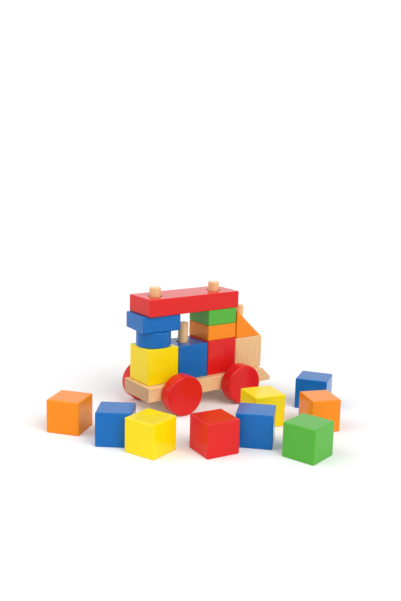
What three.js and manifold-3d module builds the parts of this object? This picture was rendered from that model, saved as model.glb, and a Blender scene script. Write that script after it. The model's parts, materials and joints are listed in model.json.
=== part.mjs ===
// Wooden car puzzle: a beech plank on red wheels, blocks threaded on its pegs, and loose blocks beside it.
// Millimetres, +X towards the car's nose, +Y to its left side, +Z up. The origin is under the set's middle.
import * as THREE from 'three';
import { mergeVertices } from 'three/addons/utils/BufferGeometryUtils.js';
import { RoundedBoxGeometry } from 'three/addons/geometries/RoundedBoxGeometry.js';
import Module from 'manifold-3d';

const wasm = await Module();
wasm.setup();

// Plank
const PLANK_LENGTH = 148;
const PLANK_DEPTH = 44;
const PEGS_FROM_RIGHT_SIDE = 24;
const PLANK_THICKNESS = 13.8;
const PLANK_GROUND_GAP = 13.9;
const NOSE_SLOPE_RUN = 10.2;
const NOSE_HEIGHT = 3.9;

// Wheels and axles
const WHEEL_DIAMETER = 38.8;
const WHEEL_THICKNESS = 13.4;
const WHEEL_RIM_RADIUS = 1.8;
const WHEEL_SIDE_GAP = 1.2;
const AXLE_DIAMETER = 6;
const AXLE_RUNNING_GAP = 0.3;
const AXLE_END_GAP = 0.5;
const WHEEL_BORE_DEPTH = 8;
const PLANK_BORE_DEPTH = 12;
const REAR_RIGHT_WHEEL_X = 32.5;
const FRONT_RIGHT_WHEEL_X = 102.4;
const LEFT_WHEELS_SET_BACK = 7.8;

// Pegs
const LONG_PEG_DIAMETER = 10.9;
const SHORT_PEG_DIAMETER = 9.9;
const SHORT_PEG_SET_BACK = 1.4;
const PEG_TIP_RADIUS = 1.5;
const PEG_SEAT_DEPTH = 10;
const REAR_PEG_HEIGHT = 90.4;
const CAB_PEG_HEIGHT = 52.8;
const ROOF_PEG_HEIGHT = 90.4;
const BONNET_PEG_HEIGHT = 63.8;
const GLUE_GAP = 0.2;

// Drilled blocks
const BLOCK_WIDTH = 33.9;
const BLOCK_DEPTH = 33.5;
const COLUMN_GAP = 0.4;
const TAIL_MARGIN = 4;
const HOLE_CLEARANCE = 1.2;
const YELLOW_CUBE_HEIGHT = 34.4;
const BLUE_CUBE_HEIGHT = 33.5;
const RED_CUBE_HEIGHT = 34.8;
const NATURAL_CUBE_HEIGHT = 33.3;
const BLUE_CYLINDER_DIAMETER = 33.6;
const BLUE_CYLINDER_SET_BACK = 1;
const BLUE_SLAB_LENGTH = 40;
const BLUE_SLAB_DEPTH = 35.6;
const BLUE_SLAB_HEIGHT = 15.6;
const BLUE_SLAB_HOLE_FROM_FRONT = 20.3;
const BLUE_SLAB_SIDE_SHIFT = 3.1;
const BLUE_SLAB_TURN = -3.8;
const ORANGE_HALF_HEIGHT = 15;
const GREEN_HALF_HEIGHT = 15.4;
const WEDGE_LENGTH = 32;
const WEDGE_HEIGHT = 29.4;
const WEDGE_REAR_GAP = 1.05;
const BEAM_LENGTH = 103.5;
const BEAM_DEPTH = 37.6;
const BEAM_SIDE_SHIFT = 1.8;
const BEAM_HEIGHT = 16.5;
const BEAM_REAR_OVERHANG = 15.7;

// Loose blocks
const LOOSE_HEIGHT = 30;
const LOOSE_WIDTH = 30.7;
const NARROW_LOOSE_WIDTH = 27.8;
const WIDE_LOOSE_WIDTH = 32;

// Edges and facets
const EDGE_RADIUS = 1.2;
const PLANK_CORNER_RADIUS = 1.8;
const WEDGE_EDGE_RADIUS = 0.6;
const WEDGE_CORNER_RADIUS = 0.9;
const EDGE_SEGMENTS = 2;
const BLOCK_EDGE_SEGMENTS = 2;
const ROUND_SEGMENTS = 32;
const HOLE_SEGMENTS = 20;
const CUT_MARGIN = 2;

const COLORS = {
  red: 0xd9272a,
  yellow: 0xf7d60f,
  blue: 0x1f63ae,
  orange: 0xf58a2a,
  green: 0x4fae45,
  beech: 0xe3b480,
};

function woodMaterial(color) {
  return new THREE.MeshStandardMaterial({ color: COLORS[color], roughness: 0.4, metalness: 0 });
}

function solidOf(geometry) {
  const bare = geometry.clone();
  bare.deleteAttribute('normal');
  bare.deleteAttribute('uv');
  const merged = mergeVertices(bare);
  return new wasm.Manifold(new wasm.Mesh({
    numProp: 3,
    vertProperties: Float32Array.from(merged.attributes.position.array),
    triVerts: Uint32Array.from(merged.index.array),
  }));
}

function geometryOf(solid) {
  const mesh = solid.getMesh();
  const geometry = new THREE.BufferGeometry();
  geometry.setAttribute('position', new THREE.BufferAttribute(mesh.vertProperties, 3));
  geometry.setIndex(new THREE.BufferAttribute(mesh.triVerts, 1));
  return geometry;
}

function subtract(geometry, cutters) {
  const cut = cutters.reduce((solid, cutter) => solid.subtract(solidOf(cutter)), solidOf(geometry));
  return geometryOf(cut);
}

// A round bar standing along Z, from bottom to top.
function uprightBar(radius, bottom, top, x, y) {
  const bar = new THREE.CylinderGeometry(radius, radius, top - bottom, HOLE_SEGMENTS);
  bar.rotateX(Math.PI / 2);
  bar.translate(x, y, (bottom + top) / 2);
  return bar;
}

// A shape whose corners are rounded by quadratic curves that touch its sides where a fillet would.
function roundedOutline(corners, radius) {
  const shape = new THREE.Shape();
  corners.forEach((corner, i) => {
    const toBefore = corners[(i + corners.length - 1) % corners.length].clone().sub(corner);
    const toAfter = corners[(i + 1) % corners.length].clone().sub(corner);
    const angle = Math.acos(toBefore.clone().normalize().dot(toAfter.clone().normalize()));
    const tangent = radius / Math.tan(angle / 2);
    const entry = corner.clone().add(toBefore.setLength(tangent));
    const exit = corner.clone().add(toAfter.setLength(tangent));
    if (i === 0) {
      shape.moveTo(entry.x, entry.y);
    } else {
      shape.lineTo(entry.x, entry.y);
    }
    shape.quadraticCurveTo(corner.x, corner.y, exit.x, exit.y);
  });
  shape.closePath();
  return shape;
}

// A side profile in X and Z, extruded to a depth centred on Y, with eased edges.
function profileBlock(corners, depth, cornerRadius, edgeRadius) {
  const outline = roundedOutline(corners.map(([x, z]) => new THREE.Vector2(x, z)), cornerRadius);
  const geometry = new THREE.ExtrudeGeometry(outline, {
    depth: depth - 2 * edgeRadius,
    bevelEnabled: true,
    bevelSize: edgeRadius,
    bevelThickness: edgeRadius,
    bevelOffset: -edgeRadius,
    bevelSegments: EDGE_SEGMENTS,
    curveSegments: EDGE_SEGMENTS,
  });
  geometry.translate(0, 0, edgeRadius - depth / 2);
  geometry.rotateX(Math.PI / 2);
  return geometry;
}

// A block with eased edges standing on Z = 0, centred on X and Y.
function plainBlock(width, depth, height) {
  const geometry = new RoundedBoxGeometry(width, depth, height, BLOCK_EDGE_SEGMENTS, EDGE_RADIUS);
  geometry.translate(0, 0, height / 2);
  return geometry;
}

function holeRadius(pegDiameter) {
  return pegDiameter / 2 + HOLE_CLEARANCE;
}

function pegHole(pegDiameter, height, x) {
  return uprightBar(holeRadius(pegDiameter), -CUT_MARGIN, height + CUT_MARGIN, x, 0);
}

// A drilled block whose first hole is on its own Z axis.
function drilledBlock(width, depth, height, rearOverhang, sideShift, pegDiameter, holes) {
  const block = plainBlock(width, depth, height);
  block.translate(width / 2 - rearOverhang, sideShift, 0);
  return subtract(block, holes.map((x) => pegHole(pegDiameter, height, x)));
}

const set = new THREE.Group();
const car = new THREE.Group();
set.add(car);

function addPiece(parent, name, geometry, color, x = 0, y = 0, z = 0) {
  const mesh = new THREE.Mesh(geometry, woodMaterial(color));
  mesh.name = name;
  mesh.position.set(x, y, z);
  parent.add(mesh);
  return mesh;
}

// Plank with blind peg holes in its top and blind axle bores in its sides
const deckZ = PLANK_GROUND_GAP + PLANK_THICKNESS;
const axleZ = WHEEL_DIAMETER / 2;
const columnPitch = BLOCK_WIDTH + COLUMN_GAP;
const columnXs = [0, 1, 2, 3].map((column) => TAIL_MARGIN + BLOCK_WIDTH / 2 + column * columnPitch);
const pegSetBacks = [0, SHORT_PEG_SET_BACK, 0, SHORT_PEG_SET_BACK];
const pegXs = columnXs.map((x, column) => x - pegSetBacks[column]);
const [rearPegX, , roofPegX] = pegXs;
const bonnetX = columnXs[3];
const pegDiameters = [LONG_PEG_DIAMETER, SHORT_PEG_DIAMETER, LONG_PEG_DIAMETER, SHORT_PEG_DIAMETER];
const leftSideY = PLANK_DEPTH - PEGS_FROM_RIGHT_SIDE;
const plankMiddleY = PLANK_DEPTH / 2 - PEGS_FROM_RIGHT_SIDE;
const rearLeftWheelX = REAR_RIGHT_WHEEL_X - LEFT_WHEELS_SET_BACK;
const frontLeftWheelX = FRONT_RIGHT_WHEEL_X - LEFT_WHEELS_SET_BACK;
const wheelPlaces = [
  { name: 'rear_left', x: rearLeftWheelX, sideY: leftSideY, outward: 1 },
  { name: 'rear_right', x: REAR_RIGHT_WHEEL_X, sideY: -PEGS_FROM_RIGHT_SIDE, outward: -1 },
  { name: 'front_left', x: frontLeftWheelX, sideY: leftSideY, outward: 1 },
  { name: 'front_right', x: FRONT_RIGHT_WHEEL_X, sideY: -PEGS_FROM_RIGHT_SIDE, outward: -1 },
];

// A round bar lying along Y between two places.
function crossBar(radius, fromY, toY) {
  const bar = new THREE.CylinderGeometry(radius, radius, Math.abs(toY - fromY), HOLE_SEGMENTS);
  bar.translate(0, (fromY + toY) / 2, 0);
  return bar;
}

function axleBore({ x, sideY, outward }) {
  const radius = AXLE_DIAMETER / 2 + AXLE_RUNNING_GAP;
  const bore = crossBar(radius, sideY - outward * PLANK_BORE_DEPTH, sideY + outward * CUT_MARGIN);
  return bore.translate(x, 0, axleZ);
}

function plank() {
  const body = profileBlock([
    [0, PLANK_GROUND_GAP],
    [PLANK_LENGTH, PLANK_GROUND_GAP],
    [PLANK_LENGTH, PLANK_GROUND_GAP + NOSE_HEIGHT],
    [PLANK_LENGTH - NOSE_SLOPE_RUN, deckZ],
    [0, deckZ],
  ], PLANK_DEPTH, PLANK_CORNER_RADIUS, EDGE_RADIUS);
  body.translate(0, plankMiddleY, 0);
  const seats = pegXs.map((x, column) => uprightBar(
    pegDiameters[column] / 2 + GLUE_GAP, deckZ - PEG_SEAT_DEPTH, deckZ + CUT_MARGIN, x, 0));
  return subtract(body, [...seats, ...wheelPlaces.map(axleBore)]);
}
addPiece(car, 'base_plank', plank(), 'beech');

// Pegs: dowels with rounded tips, glued into the plank
function peg(height, diameter) {
  const radius = diameter / 2;
  const top = height + PEG_SEAT_DEPTH;
  const profile = new THREE.Path();
  profile.moveTo(0, 0);
  profile.lineTo(radius, 0);
  profile.lineTo(radius, top - PEG_TIP_RADIUS);
  profile.absarc(radius - PEG_TIP_RADIUS, top - PEG_TIP_RADIUS, PEG_TIP_RADIUS, 0, Math.PI / 2);
  profile.lineTo(0, top);
  return new THREE.LatheGeometry(profile.getPoints(EDGE_SEGMENTS), HOLE_SEGMENTS).rotateX(Math.PI / 2);
}
const pegNames = ['peg_rear', 'peg_cab', 'peg_roof', 'peg_bonnet'];
const pegHeights = [REAR_PEG_HEIGHT, CAB_PEG_HEIGHT, ROOF_PEG_HEIGHT, BONNET_PEG_HEIGHT];
pegNames.forEach((name, column) => {
  const dowel = peg(pegHeights[column], pegDiameters[column]);
  addPiece(car, name, dowel, 'beech', pegXs[column], 0, deckZ - PEG_SEAT_DEPTH);
});

// Wheels: discs with rounded rims and a blind bore for the axle in the inner face
function wheel() {
  const radius = WHEEL_DIAMETER / 2;
  const rim = WHEEL_RIM_RADIUS;
  const boreRadius = AXLE_DIAMETER / 2 + GLUE_GAP;
  const profile = new THREE.Path();
  profile.moveTo(0, WHEEL_BORE_DEPTH);
  profile.lineTo(boreRadius, WHEEL_BORE_DEPTH);
  profile.lineTo(boreRadius, 0);
  profile.lineTo(radius - rim, 0);
  profile.absarc(radius - rim, rim, rim, -Math.PI / 2, 0);
  profile.lineTo(radius, WHEEL_THICKNESS - rim);
  profile.absarc(radius - rim, WHEEL_THICKNESS - rim, rim, 0, Math.PI / 2);
  profile.lineTo(0, WHEEL_THICKNESS);
  return new THREE.LatheGeometry(profile.getPoints(EDGE_SEGMENTS), ROUND_SEGMENTS);
}

// Each wheel is glued to a short axle that turns in the plank
wheelPlaces.forEach(({ name, x, sideY, outward }) => {
  const innerY = sideY + outward * WHEEL_SIDE_GAP;
  const axleStart = sideY - outward * (PLANK_BORE_DEPTH - AXLE_END_GAP);
  const axleEnd = innerY + outward * (WHEEL_BORE_DEPTH - AXLE_END_GAP);
  const disc = outward > 0 ? wheel() : wheel().rotateX(Math.PI);
  addPiece(car, `${name}_axle`, crossBar(AXLE_DIAMETER / 2, axleStart, axleEnd), 'beech', x, 0, axleZ);
  addPiece(car, `${name}_wheel`, disc, 'red', x, innerY, axleZ);
});

// First layer: drilled cubes standing on the plank
const cubeNames = ['yellow_cube', 'blue_cube', 'red_cube', 'natural_cube'];
const cubeColors = ['yellow', 'blue', 'red', 'beech'];
const cubeHeights = [YELLOW_CUBE_HEIGHT, BLUE_CUBE_HEIGHT, RED_CUBE_HEIGHT, NATURAL_CUBE_HEIGHT];
cubeNames.forEach((name, column) => {
  const rearOverhang = BLOCK_WIDTH / 2 - pegSetBacks[column];
  const cube = drilledBlock(
    BLOCK_WIDTH, BLOCK_DEPTH, cubeHeights[column], rearOverhang, 0, pegDiameters[column], [0]);
  addPiece(car, name, cube, cubeColors[column], pegXs[column], 0, deckZ);
});

// Roof stack: two half blocks on the red cube
const orangeZ = deckZ + RED_CUBE_HEIGHT;
const greenZ = orangeZ + ORANGE_HALF_HEIGHT;
const roofZ = greenZ + GREEN_HALF_HEIGHT;

function halfBlock(height) {
  return drilledBlock(BLOCK_WIDTH, BLOCK_DEPTH, height, BLOCK_WIDTH / 2, 0, LONG_PEG_DIAMETER, [0]);
}
addPiece(car, 'orange_half_block', halfBlock(ORANGE_HALF_HEIGHT), 'orange', roofPegX, 0, orangeZ);
addPiece(car, 'green_half_block', halfBlock(GREEN_HALF_HEIGHT), 'green', roofPegX, 0, greenZ);

// Rear stack: the cylinder fills the height between the yellow cube and the slab, which carries the roof
const cylinderZ = deckZ + YELLOW_CUBE_HEIGHT;
const slabZ = roofZ - BLUE_SLAB_HEIGHT;

function drilledCylinder(height) {
  const radius = BLUE_CYLINDER_DIAMETER / 2;
  const bore = holeRadius(LONG_PEG_DIAMETER);
  const profile = new THREE.Path();
  profile.moveTo(bore, 0);
  profile.lineTo(radius - EDGE_RADIUS, 0);
  profile.absarc(radius - EDGE_RADIUS, EDGE_RADIUS, EDGE_RADIUS, -Math.PI / 2, 0);
  profile.lineTo(radius, height - EDGE_RADIUS);
  profile.absarc(radius - EDGE_RADIUS, height - EDGE_RADIUS, EDGE_RADIUS, 0, Math.PI / 2);
  profile.lineTo(bore, height);
  profile.lineTo(bore, 0);
  return new THREE.LatheGeometry(profile.getPoints(EDGE_SEGMENTS), ROUND_SEGMENTS).rotateX(Math.PI / 2);
}
const cylinderX = rearPegX - BLUE_CYLINDER_SET_BACK;
addPiece(car, 'blue_cylinder', drilledCylinder(slabZ - cylinderZ), 'blue', cylinderX, 0, cylinderZ);

const slabOverhang = BLUE_SLAB_LENGTH - BLUE_SLAB_HOLE_FROM_FRONT;
const slab = drilledBlock(
  BLUE_SLAB_LENGTH, BLUE_SLAB_DEPTH, BLUE_SLAB_HEIGHT, slabOverhang, BLUE_SLAB_SIDE_SHIFT,
  LONG_PEG_DIAMETER, [0]);
const slabMesh = addPiece(car, 'blue_slab', slab, 'blue', rearPegX, 0, slabZ);
slabMesh.rotation.z = THREE.MathUtils.degToRad(BLUE_SLAB_TURN);

// Roof beam over both stacks
const beamHoles = [0, roofPegX - rearPegX];
const beam = drilledBlock(
  BEAM_LENGTH, BEAM_DEPTH, BEAM_HEIGHT, BEAM_REAR_OVERHANG, BEAM_SIDE_SHIFT, LONG_PEG_DIAMETER, beamHoles);
addPiece(car, 'red_roof_beam', beam, 'red', rearPegX, 0, roofZ);

// Windscreen wedge on the natural cube, with its upright face to the rear
const wedgeZ = deckZ + NATURAL_CUBE_HEIGHT;
const wedgeRear = BLOCK_WIDTH / 2 + WEDGE_REAR_GAP - columnPitch;
const wedgeBlank = profileBlock([
  [wedgeRear, 0],
  [wedgeRear + WEDGE_LENGTH, 0],
  [wedgeRear, WEDGE_HEIGHT],
], BLOCK_DEPTH, WEDGE_CORNER_RADIUS, WEDGE_EDGE_RADIUS);
const wedge = subtract(wedgeBlank, [pegHole(SHORT_PEG_DIAMETER, WEDGE_HEIGHT, -SHORT_PEG_SET_BACK)]);
addPiece(car, 'orange_wedge', wedge, 'orange', bonnetX, 0, wedgeZ);

// Loose blocks standing around the car: their middles from the plank's tail, in block widths, and their
// turn in degrees
const looseBlocks = [
  { name: 'loose_orange_left', color: 'orange', x: -2.404, y: -0.378, turn: -50.9 },
  { name: 'loose_blue_left', color: 'blue', x: -1.769, y: -1.919, turn: -37.7 },
  { name: 'loose_yellow_left', color: 'yellow', x: -1.334, y: -3.042, turn: 19.4 },
  { name: 'loose_red', color: 'red', x: 0.134, y: -3.94, turn: -6 },
  {
    name: 'loose_blue_middle', color: 'blue', x: 1.471, y: -4.07, turn: -44.7,
    width: WIDE_LOOSE_WIDTH,
  },
  { name: 'loose_green', color: 'green', x: 2.039, y: -5.583, turn: 15.6 },
  {
    name: 'loose_orange_right', color: 'orange', x: 3.88, y: -4.107, turn: -20.5,
    width: NARROW_LOOSE_WIDTH,
  },
  { name: 'loose_blue_right', color: 'blue', x: 5.147, y: -2.541, turn: -55.4 },
  { name: 'loose_yellow_right', color: 'yellow', x: 2.683, y: -2.917, turn: -12.5 },
];
looseBlocks.forEach(({ name, color, x, y, turn, width = LOOSE_WIDTH }) => {
  const cube = plainBlock(width, LOOSE_WIDTH, LOOSE_HEIGHT);
  const block = addPiece(set, name, cube, color, x * LOOSE_WIDTH, y * LOOSE_WIDTH, 0);
  block.rotation.z = THREE.MathUtils.degToRad(turn);
});

// The set's origin lies under the middle of its box
const middle = new THREE.Box3().setFromObject(set, true).getCenter(new THREE.Vector3());
set.position.set(-middle.x, -middle.y, 0);

const group = new THREE.Group();
group.add(set);
export default group;
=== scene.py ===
"""Looks of the wooden car puzzle: painted blocks on a beech plank with red wheels, and loose cubes."""
import json
import math

import bmesh
import bpy
from mathutils import Matrix, Vector

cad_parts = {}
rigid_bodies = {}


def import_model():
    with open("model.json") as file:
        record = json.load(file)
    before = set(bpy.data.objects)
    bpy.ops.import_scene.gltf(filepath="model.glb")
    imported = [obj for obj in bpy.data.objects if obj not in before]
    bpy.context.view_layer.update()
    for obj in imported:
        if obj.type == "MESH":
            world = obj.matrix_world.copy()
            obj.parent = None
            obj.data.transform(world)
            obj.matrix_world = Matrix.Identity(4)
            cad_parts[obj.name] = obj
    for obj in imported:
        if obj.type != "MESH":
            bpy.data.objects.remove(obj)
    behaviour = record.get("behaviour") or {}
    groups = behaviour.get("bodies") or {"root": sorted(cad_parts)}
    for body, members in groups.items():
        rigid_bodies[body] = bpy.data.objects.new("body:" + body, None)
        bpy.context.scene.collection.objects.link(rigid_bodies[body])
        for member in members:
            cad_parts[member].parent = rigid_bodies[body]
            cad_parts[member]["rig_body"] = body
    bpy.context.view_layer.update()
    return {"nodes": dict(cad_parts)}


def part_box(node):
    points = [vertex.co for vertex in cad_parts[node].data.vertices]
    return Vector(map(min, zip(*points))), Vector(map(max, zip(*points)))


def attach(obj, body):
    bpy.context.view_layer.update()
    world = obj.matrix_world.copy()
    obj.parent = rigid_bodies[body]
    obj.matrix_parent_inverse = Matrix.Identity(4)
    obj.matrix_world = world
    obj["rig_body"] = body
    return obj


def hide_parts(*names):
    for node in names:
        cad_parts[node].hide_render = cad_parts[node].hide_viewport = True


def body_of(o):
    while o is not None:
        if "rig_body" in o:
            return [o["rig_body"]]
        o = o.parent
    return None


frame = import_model()

MM = 0.001

# Shapes that the frame's boxes don't give
NOSE_SLOPE_RUN = 10.2 * MM
NOSE_HEIGHT = 3.9 * MM
HOLE_CLEARANCE = 1.2 * MM
BLOCK_EDGE = 1.1 * MM
PLANK_EDGE = 0.9 * MM
WEDGE_EDGE = 0.8 * MM
HOLE_RIM = 0.45 * MM
PEG_TIP = 1.0 * MM
WHEEL_RIM = 1.8 * MM
AXLE_END = 0.4 * MM
EDGE_STEPS = 4
RIM_STEPS = 2
HOLE_STEPS = 56
ROUND_STEPS = 96
ROUND_PROFILE = 0.5
SHARP_ANGLE = math.radians(25)
RIM_REACH = 1.02
CUT_MARGIN = 5 * MM
UPRIGHT_FACE_SLOPE = 0.1
FLAT_FACE_WEIGHT = 100

# Colours of the surfaces in plain light, sRGB
PAINTS = {
    "red_paint": (222, 32, 30),
    "yellow_paint": (250, 222, 10),
    "blue_paint": (6, 106, 184),
    "orange_paint": (249, 141, 16),
    "green_paint": (86, 178, 58),
}
BEECH_LIGHT = (243, 206, 157)
BEECH_MID = (238, 195, 141)
BEECH_DARK = (225, 173, 117)
SAWN_END = (190, 148, 110)
SANDED_END = (246, 213, 170)

# Finish of the paint: noise scales per metre, and ramps of (input, share of the colour) or (input, mask)
PAINT_IOR = 1.34
PAINT_GRAIN_SCALE = 900
PAINT_RIPPLE_SCALE = 160
PAINT_ROUGHNESS = (0.10, 0.20)
PAINT_BUMP = 0.04
PAINT_BODY = [(0.3, 0.975), (0.5, 1.0), (0.72, 1.015)]
# Lighter shades of the paint on the rounded edges, as a painted highlight
PAINT_EDGE_HIGHLIGHT = [(0.3, 1.06), (0.7, 1.12)]
EDGE_HIGHLIGHT_MASK = [(0.53, 0.0), (0.62, 0.5)]

# Finish of the beech, given the same way; the shift sets the heart of the log away from the piece
BEECH_IOR = 1.36
BEECH_GRAIN_SCALE = 1100
BEECH_RIPPLE_SCALE = 120
FLECK_SCALE = 1900
BEECH_ROUGHNESS = (0.20, 0.34)
BEECH_BUMP = 0.12
RINGS = {"Scale": 78, "Distortion": 2.6, "Detail": 3, "Detail Scale": 1.2}
RING_SHIFT = (0.031, 0.043, -0.045)
LATE_WOOD = 0.96
FIBRE_SHARE = [(0.3, 0.5), (0.7, 0.9)]
FLECK_MASK = [(0.62, 0.0), (0.72, 0.5)]
FLECK_TONE = [(0.0, 0.86), (1.0, 0.94)]
END_GRAIN_MASK = [(0.6, 0.0), (0.9, 0.85)]
END_GRAIN_TONE = [(0.1, 1.1), (0.9, 0.86)]

# Relief and noise of both finishes
GRAIN_STRETCH = 14
NOISE_ROUGHNESS = 0.6
NOISE_SPREAD = 40.0
ROUGHNESS_NOISE = (0.3, 0.7)
GRAIN_DEPTH = 0.2 * MM
RIPPLE_DEPTH = 0.4 * MM
RIPPLE_BUMP = 0.1

# Camera of the photograph: the picture is 401 pixels wide and 601 high
PICTURE_HEIGHT_PX = 601
FOCAL_PX = 780.4
SENSOR_HEIGHT_MM = 36
CAMERA_FROM_TAIL = Vector((-367.8, -610.7, 0)) * MM
CAMERA_HEIGHT = 246.3 * MM
CAMERA_HEADING = math.radians(35.887)
CAMERA_PITCH = math.radians(10.979)
CAMERA_ROLL = math.radians(1.409)

# Light
SKY_STRENGTH = 0.48
LAMP_HEIGHT = math.radians(44)
LAMP_SPREAD = math.radians(48)
FRONT_LAMP_STRENGTH = 1.74
FRONT_LAMP_TURN = math.radians(42)
LEFT_LAMP_STRENGTH = 0.98
LEFT_LAMP_TURN = math.radians(-75)
FLOOR_SIZE = 30.0
FLOOR_ALBEDO = 0.94
FLOOR_GLOW = 0.06

PEGS = ["peg_rear", "peg_cab", "peg_roof", "peg_bonnet"]


def linear(srgb):
    """An 8-bit sRGB colour as linear RGBA."""
    channels = []
    for value in srgb:
        c = value / 255
        channels.append(c / 12.92 if c <= 0.04045 else ((c + 0.055) / 1.055) ** 2.4)
    return (*channels, 1.0)


def shade(srgb, factor):
    """The same colour made darker or lighter."""
    return tuple(min(255, value * factor) for value in srgb)


def grey(value):
    return (value, value, value, 1.0)


def add(tree, kind, inputs=None, **settings):
    """A new shader node with its settings and socket values."""
    made = tree.nodes.new(kind)
    for key, value in settings.items():
        setattr(made, key, value)
    for key, value in (inputs or {}).items():
        made.inputs[key].default_value = value
    return made


def ramp(tree, stops):
    """A colour ramp through (place, linear colour) stops."""
    made = tree.nodes.new("ShaderNodeValToRGB")
    elements = made.color_ramp.elements
    while len(elements) < len(stops):
        elements.new(0.5)
    for element, (place, colour) in zip(elements, stops):
        element.position = place
        element.color = colour
    return made


def mask(tree, stops):
    """A grey ramp through (place, value) stops."""
    return ramp(tree, [(place, grey(value)) for place, value in stops])


def shades(tree, srgb, stops):
    """A ramp through one colour made darker or lighter, with (place, factor) stops."""
    return ramp(tree, [(place, linear(shade(srgb, factor))) for place, factor in stops])


def grain_noise(tree, coordinates, scale, detail, along):
    """Noise drawn out along one local axis, different on each piece."""
    stretch = [scale] * 3
    stretch["XYZ".index(along)] = scale / GRAIN_STRETCH
    mapping = add(tree, "ShaderNodeMapping", {"Scale": stretch})
    levels = {"Scale": 1.0, "Detail": detail, "Roughness": NOISE_ROUGHNESS}
    noise = add(tree, "ShaderNodeTexNoise", levels, noise_dimensions="4D")
    info = tree.nodes.new("ShaderNodeObjectInfo")
    spread = add(tree, "ShaderNodeMapRange", {"To Max": NOISE_SPREAD})
    tree.links.new(coordinates, mapping.inputs["Vector"])
    tree.links.new(mapping.outputs["Vector"], noise.inputs["Vector"])
    tree.links.new(info.outputs["Random"], spread.inputs["Value"])
    tree.links.new(spread.outputs["Result"], noise.inputs["W"])
    return noise.outputs["Fac"]


def mixed(tree, factor, first, second):
    """Two colour sockets mixed by a factor socket."""
    mix = add(tree, "ShaderNodeMix", data_type="RGBA")
    tree.links.new(factor, mix.inputs["Factor"])
    tree.links.new(first, mix.inputs["A"])
    tree.links.new(second, mix.inputs["B"])
    return mix.outputs["Result"]


def new_material(name):
    material = bpy.data.materials.new(name)
    material.use_nodes = True
    tree = material.node_tree
    shader = tree.nodes["Principled BSDF"]
    coordinates = tree.nodes.new("ShaderNodeTexCoord")
    return material, tree, shader, coordinates


def surface(tree, shader, grain, ripple, roughness_range, bump_strength):
    """Roughness and bump of a lacquered wooden surface."""
    roughness = add(tree, "ShaderNodeMapRange", {
        "From Min": ROUGHNESS_NOISE[0],
        "From Max": ROUGHNESS_NOISE[1],
        "To Min": roughness_range[0],
        "To Max": roughness_range[1],
    })
    bump = add(tree, "ShaderNodeBump", {"Strength": bump_strength, "Distance": GRAIN_DEPTH})
    soft = add(tree, "ShaderNodeBump", {"Strength": RIPPLE_BUMP, "Distance": RIPPLE_DEPTH})
    tree.links.new(grain, roughness.inputs["Value"])
    tree.links.new(roughness.outputs["Result"], shader.inputs["Roughness"])
    tree.links.new(grain, bump.inputs["Height"])
    tree.links.new(ripple, soft.inputs["Height"])
    tree.links.new(soft.outputs["Normal"], bump.inputs["Normal"])
    tree.links.new(bump.outputs["Normal"], shader.inputs["Normal"])


def painted(name, srgb, along="X"):
    """Paint that lets the grain show faintly, with a painted highlight in lighter shades along the
    rounded edges.
    """
    material, tree, shader, coordinates = new_material(name)
    shader.inputs["IOR"].default_value = PAINT_IOR
    grain = grain_noise(tree, coordinates.outputs["Object"], PAINT_GRAIN_SCALE, detail=4, along=along)
    ripple = grain_noise(tree, coordinates.outputs["Object"], PAINT_RIPPLE_SCALE, detail=2, along=along)
    body = shades(tree, srgb, PAINT_BODY)
    # Painted highlight: the paint made lighter where the edges are rounded (Pointiness)
    edge_highlight = shades(tree, srgb, PAINT_EDGE_HIGHLIGHT)
    geometry = tree.nodes.new("ShaderNodeNewGeometry")
    edge = mask(tree, EDGE_HIGHLIGHT_MASK)
    tree.links.new(grain, body.inputs["Fac"])
    tree.links.new(ripple, edge_highlight.inputs["Fac"])
    tree.links.new(geometry.outputs["Pointiness"], edge.inputs["Fac"])
    colour = mixed(tree, edge.outputs["Color"], body.outputs["Color"], edge_highlight.outputs["Color"])
    tree.links.new(colour, shader.inputs["Base Color"])
    surface(tree, shader, grain, ripple, PAINT_ROUGHNESS, PAINT_BUMP)
    return material


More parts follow.
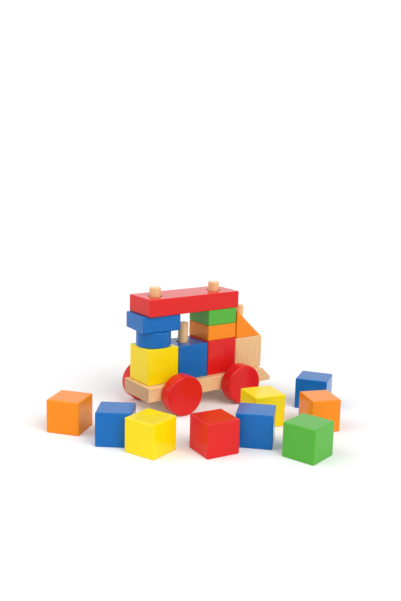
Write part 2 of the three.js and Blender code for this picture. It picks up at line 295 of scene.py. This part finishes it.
def beech(name, along, end_srgb):
    """Clear lacquered beech: soft rings, dark flecks along the grain, and end grain of its own tone."""
    material, tree, shader, coordinates = new_material(name)
    shader.inputs["IOR"].default_value = BEECH_IOR
    place = coordinates.outputs["Object"]
    grain = grain_noise(tree, place, BEECH_GRAIN_SCALE, detail=5, along=along)
    ripple = grain_noise(tree, place, BEECH_RIPPLE_SCALE, detail=3, along=along)
    flecks = grain_noise(tree, place, FLECK_SCALE, detail=2, along=along)
    off_centre = add(tree, "ShaderNodeMapping", {"Location": RING_SHIFT})
    rings = add(tree, "ShaderNodeTexWave", RINGS,
                wave_type="RINGS", rings_direction=along, wave_profile="SAW")
    ring_colour = ramp(tree, [
        (0.0, linear(BEECH_LIGHT)),
        (0.6, linear(BEECH_MID)),
        (1.0, linear(shade(BEECH_MID, LATE_WOOD))),
    ])
    fibre_colour = ramp(tree, [
        (0.2, linear(BEECH_DARK)),
        (0.5, linear(BEECH_MID)),
        (0.8, linear(BEECH_LIGHT)),
    ])
    fibre_share = mask(tree, FIBRE_SHARE)
    fleck_mask = mask(tree, FLECK_MASK)
    fleck_tone = shades(tree, BEECH_DARK, FLECK_TONE)
    split = tree.nodes.new("ShaderNodeSeparateXYZ")
    facing_end = add(tree, "ShaderNodeMath", operation="ABSOLUTE")
    end_mask = mask(tree, END_GRAIN_MASK)
    end_tone = shades(tree, end_srgb, END_GRAIN_TONE)
    links = tree.links
    links.new(place, off_centre.inputs["Vector"])
    links.new(off_centre.outputs["Vector"], rings.inputs["Vector"])
    links.new(rings.outputs["Fac"], ring_colour.inputs["Fac"])
    links.new(grain, fibre_colour.inputs["Fac"])
    links.new(ripple, fibre_share.inputs["Fac"])
    links.new(flecks, fleck_mask.inputs["Fac"])
    links.new(grain, fleck_tone.inputs["Fac"])
    links.new(rings.outputs["Fac"], end_tone.inputs["Fac"])
    links.new(coordinates.outputs["Normal"], split.inputs["Vector"])
    links.new(split.outputs[along], facing_end.inputs[0])
    links.new(facing_end.outputs["Value"], end_mask.inputs["Fac"])
    ringed = ring_colour.outputs["Color"]
    wood = mixed(tree, fibre_share.outputs["Color"], ringed, fibre_colour.outputs["Color"])
    flecked = mixed(tree, fleck_mask.outputs["Color"], wood, fleck_tone.outputs["Color"])
    ended = mixed(tree, end_mask.outputs["Color"], flecked, end_tone.outputs["Color"])
    links.new(ended, shader.inputs["Base Color"])
    surface(tree, shader, grain, ripple, BEECH_ROUGHNESS, BEECH_BUMP)
    return material


def as_object(name, bm):
    mesh = bpy.data.meshes.new(name)
    bm.to_mesh(mesh)
    bm.free()
    made = bpy.data.objects.new(name, mesh)
    bpy.context.scene.collection.objects.link(made)
    return made


def arc(centre_r, centre_z, radius, start, end):
    """Points on a quarter round of a turned profile, angles in degrees."""
    points = []
    for step in range(EDGE_STEPS + 1):
        angle = math.radians(start + (end - start) * step / EDGE_STEPS)
        points.append((centre_r + radius * math.cos(angle), centre_z + radius * math.sin(angle)))
    return points


def rod(radius, low, high, tip):
    """Turned profile of a solid rod with eased ends."""
    return ([(0, low)] + arc(radius - tip, low + tip, tip, -90, 0)
            + arc(radius - tip, high - tip, tip, 0, 90) + [(0, high)])


def lathe(name, profile, closed=False):
    """A turned piece about local Z.

    An open profile starts and ends on the axis, a closed one leaves a hole.
    """
    bm = bmesh.new()
    rings = []
    for radius, z in profile:
        if radius == 0:
            rings.append([bm.verts.new((0, 0, z))])
            continue
        turns = [2 * math.pi * step / ROUND_STEPS for step in range(ROUND_STEPS)]
        rings.append([bm.verts.new((radius * math.cos(t), radius * math.sin(t), z)) for t in turns])
    pairs = list(zip(rings, rings[1:]))
    if closed:
        pairs.append((rings[-1], rings[0]))
    for low, high in pairs:
        for step in range(ROUND_STEPS):
            after = (step + 1) % ROUND_STEPS
            corners = [
                low[step % len(low)],
                low[after % len(low)],
                high[after % len(high)],
                high[step % len(high)],
            ]
            bm.faces.new(list(dict.fromkeys(corners)))
    bmesh.ops.recalc_face_normals(bm, faces=bm.faces)
    return as_object(name, bm)


def round_over(bm, edges, offset, steps):
    """Rounds edges of a mesh over."""
    bmesh.ops.bevel(bm, geom=edges, offset=offset, segments=steps, profile=ROUND_PROFILE, affect="EDGES")


def prism(name, corners, depth, edge):
    """A block cut to a side outline in X and Z, centred across Y, with all its edges rounded over."""
    bm = bmesh.new()
    near = [bm.verts.new((x, -depth / 2, z)) for x, z in corners]
    far = [bm.verts.new((x, depth / 2, z)) for x, z in corners]
    bm.faces.new(near)
    bm.faces.new(far[::-1])
    for here in range(len(corners)):
        after = (here + 1) % len(corners)
        bm.faces.new([near[after], near[here], far[here], far[after]])
    bmesh.ops.recalc_face_normals(bm, faces=bm.faces)
    round_over(bm, bm.edges[:], edge, EDGE_STEPS)
    return as_object(name, bm)


def on_rim(edge, holes):
    """Whether a sharp edge runs round the mouth of one of the holes."""
    if not edge.is_manifold or edge.calc_face_angle() < SHARP_ANGLE:
        return False
    for x, y, radius in holes:
        reach = [(vert.co.xy - Vector((x, y))).length for vert in edge.verts]
        if max(reach) < radius * RIM_REACH:
            return True
    return False


def drill(block, holes, height):
    """Bores vertical holes, each (x, y, radius), through a block and eases their rims."""
    for x, y, radius in holes:
        cutter_mesh = bmesh.new()
        bmesh.ops.create_cone(cutter_mesh, cap_ends=True, segments=HOLE_STEPS,
                              radius1=radius, radius2=radius, depth=height + 2 * CUT_MARGIN)
        cutter = as_object("cutter", cutter_mesh)
        cutter.location = (x, y, height / 2)
        cut = block.modifiers.new("hole", "BOOLEAN")
        cut.object = cutter
        cut.solver = "EXACT"
        bpy.context.view_layer.update()
        depsgraph = bpy.context.evaluated_depsgraph_get()
        drilled = bpy.data.meshes.new_from_object(block.evaluated_get(depsgraph))
        block.modifiers.clear()
        block.data = drilled
        bpy.data.objects.remove(cutter)
    bm = bmesh.new()
    bm.from_mesh(block.data)
    rims = [edge for edge in bm.edges if on_rim(edge, holes)]
    round_over(bm, rims, HOLE_RIM, RIM_STEPS)
    bm.to_mesh(block.data)
    bm.free()


def placement(node):
    """Matrix of a node's own turned frame, on the middle of its underside, and its size there."""
    mesh = frame["nodes"][node].data
    side_area = {}
    for face in mesh.polygons:
        if abs(face.normal.z) < UPRIGHT_FACE_SLOPE:
            turn = round(math.degrees(math.atan2(face.normal.y, face.normal.x)), 2) % 90
            side_area[turn] = side_area.get(turn, 0) + face.area
    turn = max(side_area, key=side_area.get)
    if turn > 45:
        turn -= 90
    turned = Matrix.Rotation(math.radians(turn), 4, "Z")
    points = [turned.inverted() @ vert.co for vert in mesh.vertices]
    low = Vector([min(point[axis] for point in points) for axis in range(3)])
    high = Vector([max(point[axis] for point in points) for axis in range(3)])
    base = Vector(((low.x + high.x) / 2, (low.y + high.y) / 2, low.z))
    return turned @ Matrix.Translation(base), high - low


def middle(node):
    low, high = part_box(node)
    return (low + high) / 2


def foot(node):
    """The middle of a node's underside."""
    centre = middle(node)
    return Vector((centre.x, centre.y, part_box(node)[0].z))


def peg_radius(peg):
    low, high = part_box(peg)
    return (high.x - low.x) / 2


def hole_radius(peg):
    return peg_radius(peg) + HOLE_CLEARANCE


def holes_in(node, place):
    """Where the pegs pass through a node, in its own frame, and how wide its holes are."""
    low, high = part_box(node)
    holes = []
    for peg in PEGS:
        axis = middle(peg)
        if low.x < axis.x < high.x and low.y < axis.y < high.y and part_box(peg)[1].z > low.z:
            spot = place.inverted() @ Vector((axis.x, axis.y, low.z))
            holes.append((spot.x, spot.y, hole_radius(peg)))
    return holes


def set_down(piece, node, place, material):
    """Puts a finished piece in its node's place, on the node's body."""
    piece.matrix_world = place
    piece.data.materials.clear()
    piece.data.materials.append(material)
    for face in piece.data.polygons:
        face.use_smooth = True
    weighted = piece.modifiers.new("flat_faces", "WEIGHTED_NORMAL")
    weighted.weight = FLAT_FACE_WEIGHT
    bpy.context.view_layer.update()
    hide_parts(node)
    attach(piece, body_of(frame["nodes"][node])[0])


def block(node, material, slot, drilled=True):
    place, size = placement(node)
    half = size.x / 2
    corners = [(-half, 0), (half, 0), (half, size.z), (-half, size.z)]
    piece = prism(node + "_wood", corners, size.y, BLOCK_EDGE)
    if drilled:
        drill(piece, holes_in(node, place), size.z)
    set_down(piece, node, place, material)


paint = {slot: painted(slot, srgb) for slot, srgb in PAINTS.items()}
turned_red = painted("red_turned", PAINTS["red_paint"], along="Z")
turned_blue = painted("blue_turned", PAINTS["blue_paint"], along="Z")
plank_beech = beech("plank_beech", "X", SAWN_END)
upright_beech = beech("upright_beech", "Z", SANDED_END)

# Plank
plank_place, plank_size = placement("base_plank")
tail = -plank_size.x / 2
nose = plank_size.x / 2
plank = prism("base_plank_wood", [
    (tail, 0),
    (nose, 0),
    (nose, NOSE_HEIGHT),
    (nose - NOSE_SLOPE_RUN, plank_size.z),
    (tail, plank_size.z),
], plank_size.y, PLANK_EDGE)
set_down(plank, "base_plank", plank_place, plank_beech)

# Pegs
for peg in PEGS:
    low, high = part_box(peg)
    dowel = lathe(peg + "_wood", rod(peg_radius(peg), 0, high.z - low.z, PEG_TIP))
    set_down(dowel, peg, Matrix.Translation(foot(peg)), upright_beech)

# Wheels and axles, turned about Z and laid along Y
LAID = Matrix.Rotation(math.radians(90), 4, "X")
for corner in ("rear_left", "rear_right", "front_left", "front_right"):
    for node, material, slot, rounding in (
        (corner + "_axle", upright_beech, "beech", AXLE_END),
        (corner + "_wheel", turned_red, "red_paint", WHEEL_RIM),
    ):
        low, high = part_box(node)
        half_width = (high.y - low.y) / 2
        profile = rod((high.z - low.z) / 2, -half_width, half_width, rounding)
        place = Matrix.Translation(middle(node)) @ LAID
        set_down(lathe(node + "_wood", profile), node, place, material)

# Drilled blocks
for node, slot in (
    ("yellow_cube", "yellow_paint"),
    ("blue_cube", "blue_paint"),
    ("red_cube", "red_paint"),
    ("orange_half_block", "orange_paint"),
    ("green_half_block", "green_paint"),
    ("blue_slab", "blue_paint"),
    ("red_roof_beam", "red_paint"),
):
    block(node, paint[slot], slot)
block("natural_cube", upright_beech, "beech")

# Cylinder
low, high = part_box("blue_cylinder")
radius = (high.x - low.x) / 2
bore = hole_radius(PEGS[0])
height = high.z - low.z
cylinder = lathe("blue_cylinder_wood", (
    arc(radius - BLOCK_EDGE, BLOCK_EDGE, BLOCK_EDGE, -90, 0)
    + arc(radius - BLOCK_EDGE, height - BLOCK_EDGE, BLOCK_EDGE, 0, 90)
    + arc(bore + HOLE_RIM, height - HOLE_RIM, HOLE_RIM, 90, 180)
    + arc(bore + HOLE_RIM, HOLE_RIM, HOLE_RIM, 180, 270)
), closed=True)
cylinder_place = Matrix.Translation(foot("blue_cylinder"))
set_down(cylinder, "blue_cylinder", cylinder_place, turned_blue)

# Wedge over the bonnet
wedge_place, wedge_size = placement("orange_wedge")
wedge_rear = -wedge_size.x / 2
wedge = prism("orange_wedge_wood", [
    (wedge_rear, 0),
    (-wedge_rear, 0),
    (wedge_rear, wedge_size.z),
], wedge_size.y, WEDGE_EDGE)
drill(wedge, holes_in("orange_wedge", wedge_place), wedge_size.z)
set_down(wedge, "orange_wedge", wedge_place, paint["orange_paint"])

# Loose blocks
for node in sorted(frame["nodes"]):
    if node.startswith("loose_"):
        slot = node.split("_")[1] + "_paint"
        block(node, paint[slot], slot, drilled=False)

# Floor: white where no shadow falls, and it keeps the shadows
floor_mesh = bmesh.new()
bmesh.ops.create_grid(floor_mesh, x_segments=1, y_segments=1, size=FLOOR_SIZE)
floor = as_object("floor", floor_mesh)
floor_material = bpy.data.materials.new("white_floor")
floor_material.use_nodes = True
tree = floor_material.node_tree
tree.nodes.clear()
diffuse = add(tree, "ShaderNodeBsdfDiffuse", {"Color": grey(FLOOR_ALBEDO)})
glow = add(tree, "ShaderNodeEmission", {"Strength": FLOOR_GLOW})
lifted = tree.nodes.new("ShaderNodeAddShader")
light_path = tree.nodes.new("ShaderNodeLightPath")
seen = tree.nodes.new("ShaderNodeMixShader")
output = tree.nodes.new("ShaderNodeOutputMaterial")
tree.links.new(diffuse.outputs[0], lifted.inputs[0])
tree.links.new(glow.outputs[0], lifted.inputs[1])
tree.links.new(light_path.outputs["Is Camera Ray"], seen.inputs["Fac"])
tree.links.new(diffuse.outputs[0], seen.inputs[1])
tree.links.new(lifted.outputs[0], seen.inputs[2])
tree.links.new(seen.outputs[0], output.inputs["Surface"])
floor.data.materials.append(floor_material)

# World: plain soft sky for the light, white where it is seen or mirrored
world = bpy.data.worlds.new("studio")
bpy.context.scene.world = world
world.use_nodes = True
tree = world.node_tree
tree.nodes.clear()
sky = add(tree, "ShaderNodeBackground", {"Color": grey(1.0), "Strength": SKY_STRENGTH})
white = add(tree, "ShaderNodeBackground", {"Color": grey(1.0), "Strength": 1.0})
light_path = tree.nodes.new("ShaderNodeLightPath")
either = add(tree, "ShaderNodeMath", operation="MAXIMUM")
any_seen = add(tree, "ShaderNodeMath", operation="MAXIMUM")
mix = tree.nodes.new("ShaderNodeMixShader")
output = tree.nodes.new("ShaderNodeOutputWorld")
tree.links.new(light_path.outputs["Is Camera Ray"], either.inputs[0])
tree.links.new(light_path.outputs["Is Glossy Ray"], either.inputs[1])
tree.links.new(either.outputs[0], any_seen.inputs[0])
tree.links.new(light_path.outputs["Is Transmission Ray"], any_seen.inputs[1])
tree.links.new(any_seen.outputs[0], mix.inputs["Fac"])
tree.links.new(sky.outputs[0], mix.inputs[1])
tree.links.new(white.outputs[0], mix.inputs[2])
tree.links.new(mix.outputs[0], output.inputs["Surface"])

# Camera
heading = Vector((math.sin(CAMERA_HEADING), math.cos(CAMERA_HEADING), 0))
level_right = Vector((math.cos(CAMERA_HEADING), -math.sin(CAMERA_HEADING), 0))
forward = math.cos(CAMERA_PITCH) * heading - Vector((0, 0, math.sin(CAMERA_PITCH)))
level_up = math.sin(CAMERA_PITCH) * heading + Vector((0, 0, math.cos(CAMERA_PITCH)))
right = math.cos(CAMERA_ROLL) * level_right + math.sin(CAMERA_ROLL) * level_up
up = math.cos(CAMERA_ROLL) * level_up - math.sin(CAMERA_ROLL) * level_right
plank_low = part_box("base_plank")[0]
tail_on_peg_line = Vector((plank_low.x, middle(PEGS[0]).y, 0))
eye = tail_on_peg_line + CAMERA_FROM_TAIL + Vector((0, 0, CAMERA_HEIGHT))
camera_data = bpy.data.cameras.new("camera")
camera_data.sensor_fit = "VERTICAL"
camera_data.sensor_height = SENSOR_HEIGHT_MM
camera_data.lens = FOCAL_PX * SENSOR_HEIGHT_MM / PICTURE_HEIGHT_PX
camera = bpy.data.objects.new("camera", camera_data)
camera.matrix_world = Matrix.Translation(eye) @ Matrix((right, up, -forward)).transposed().to_4x4()
bpy.context.scene.collection.objects.link(camera)
bpy.context.scene.camera = camera


def lamp(name, turn, strength):
    """Very soft sunlight from the camera's side, turned about the object to the camera's right."""
    data = bpy.data.lights.new(name, "SUN")
    data.angle = LAMP_SPREAD
    data.energy = strength
    made = bpy.data.objects.new(name, data)
    level = math.sin(turn) * level_right - math.cos(turn) * heading
    toward = math.cos(LAMP_HEIGHT) * level + Vector((0, 0, math.sin(LAMP_HEIGHT)))
    made.rotation_euler = (-toward).to_track_quat("-Z", "Y").to_euler()
    bpy.context.scene.collection.objects.link(made)


lamp("front_lamp", FRONT_LAMP_TURN, FRONT_LAMP_STRENGTH)
lamp("left_lamp", LEFT_LAMP_TURN, LEFT_LAMP_STRENGTH)

bpy.context.scene.view_settings.view_transform = "Standard"
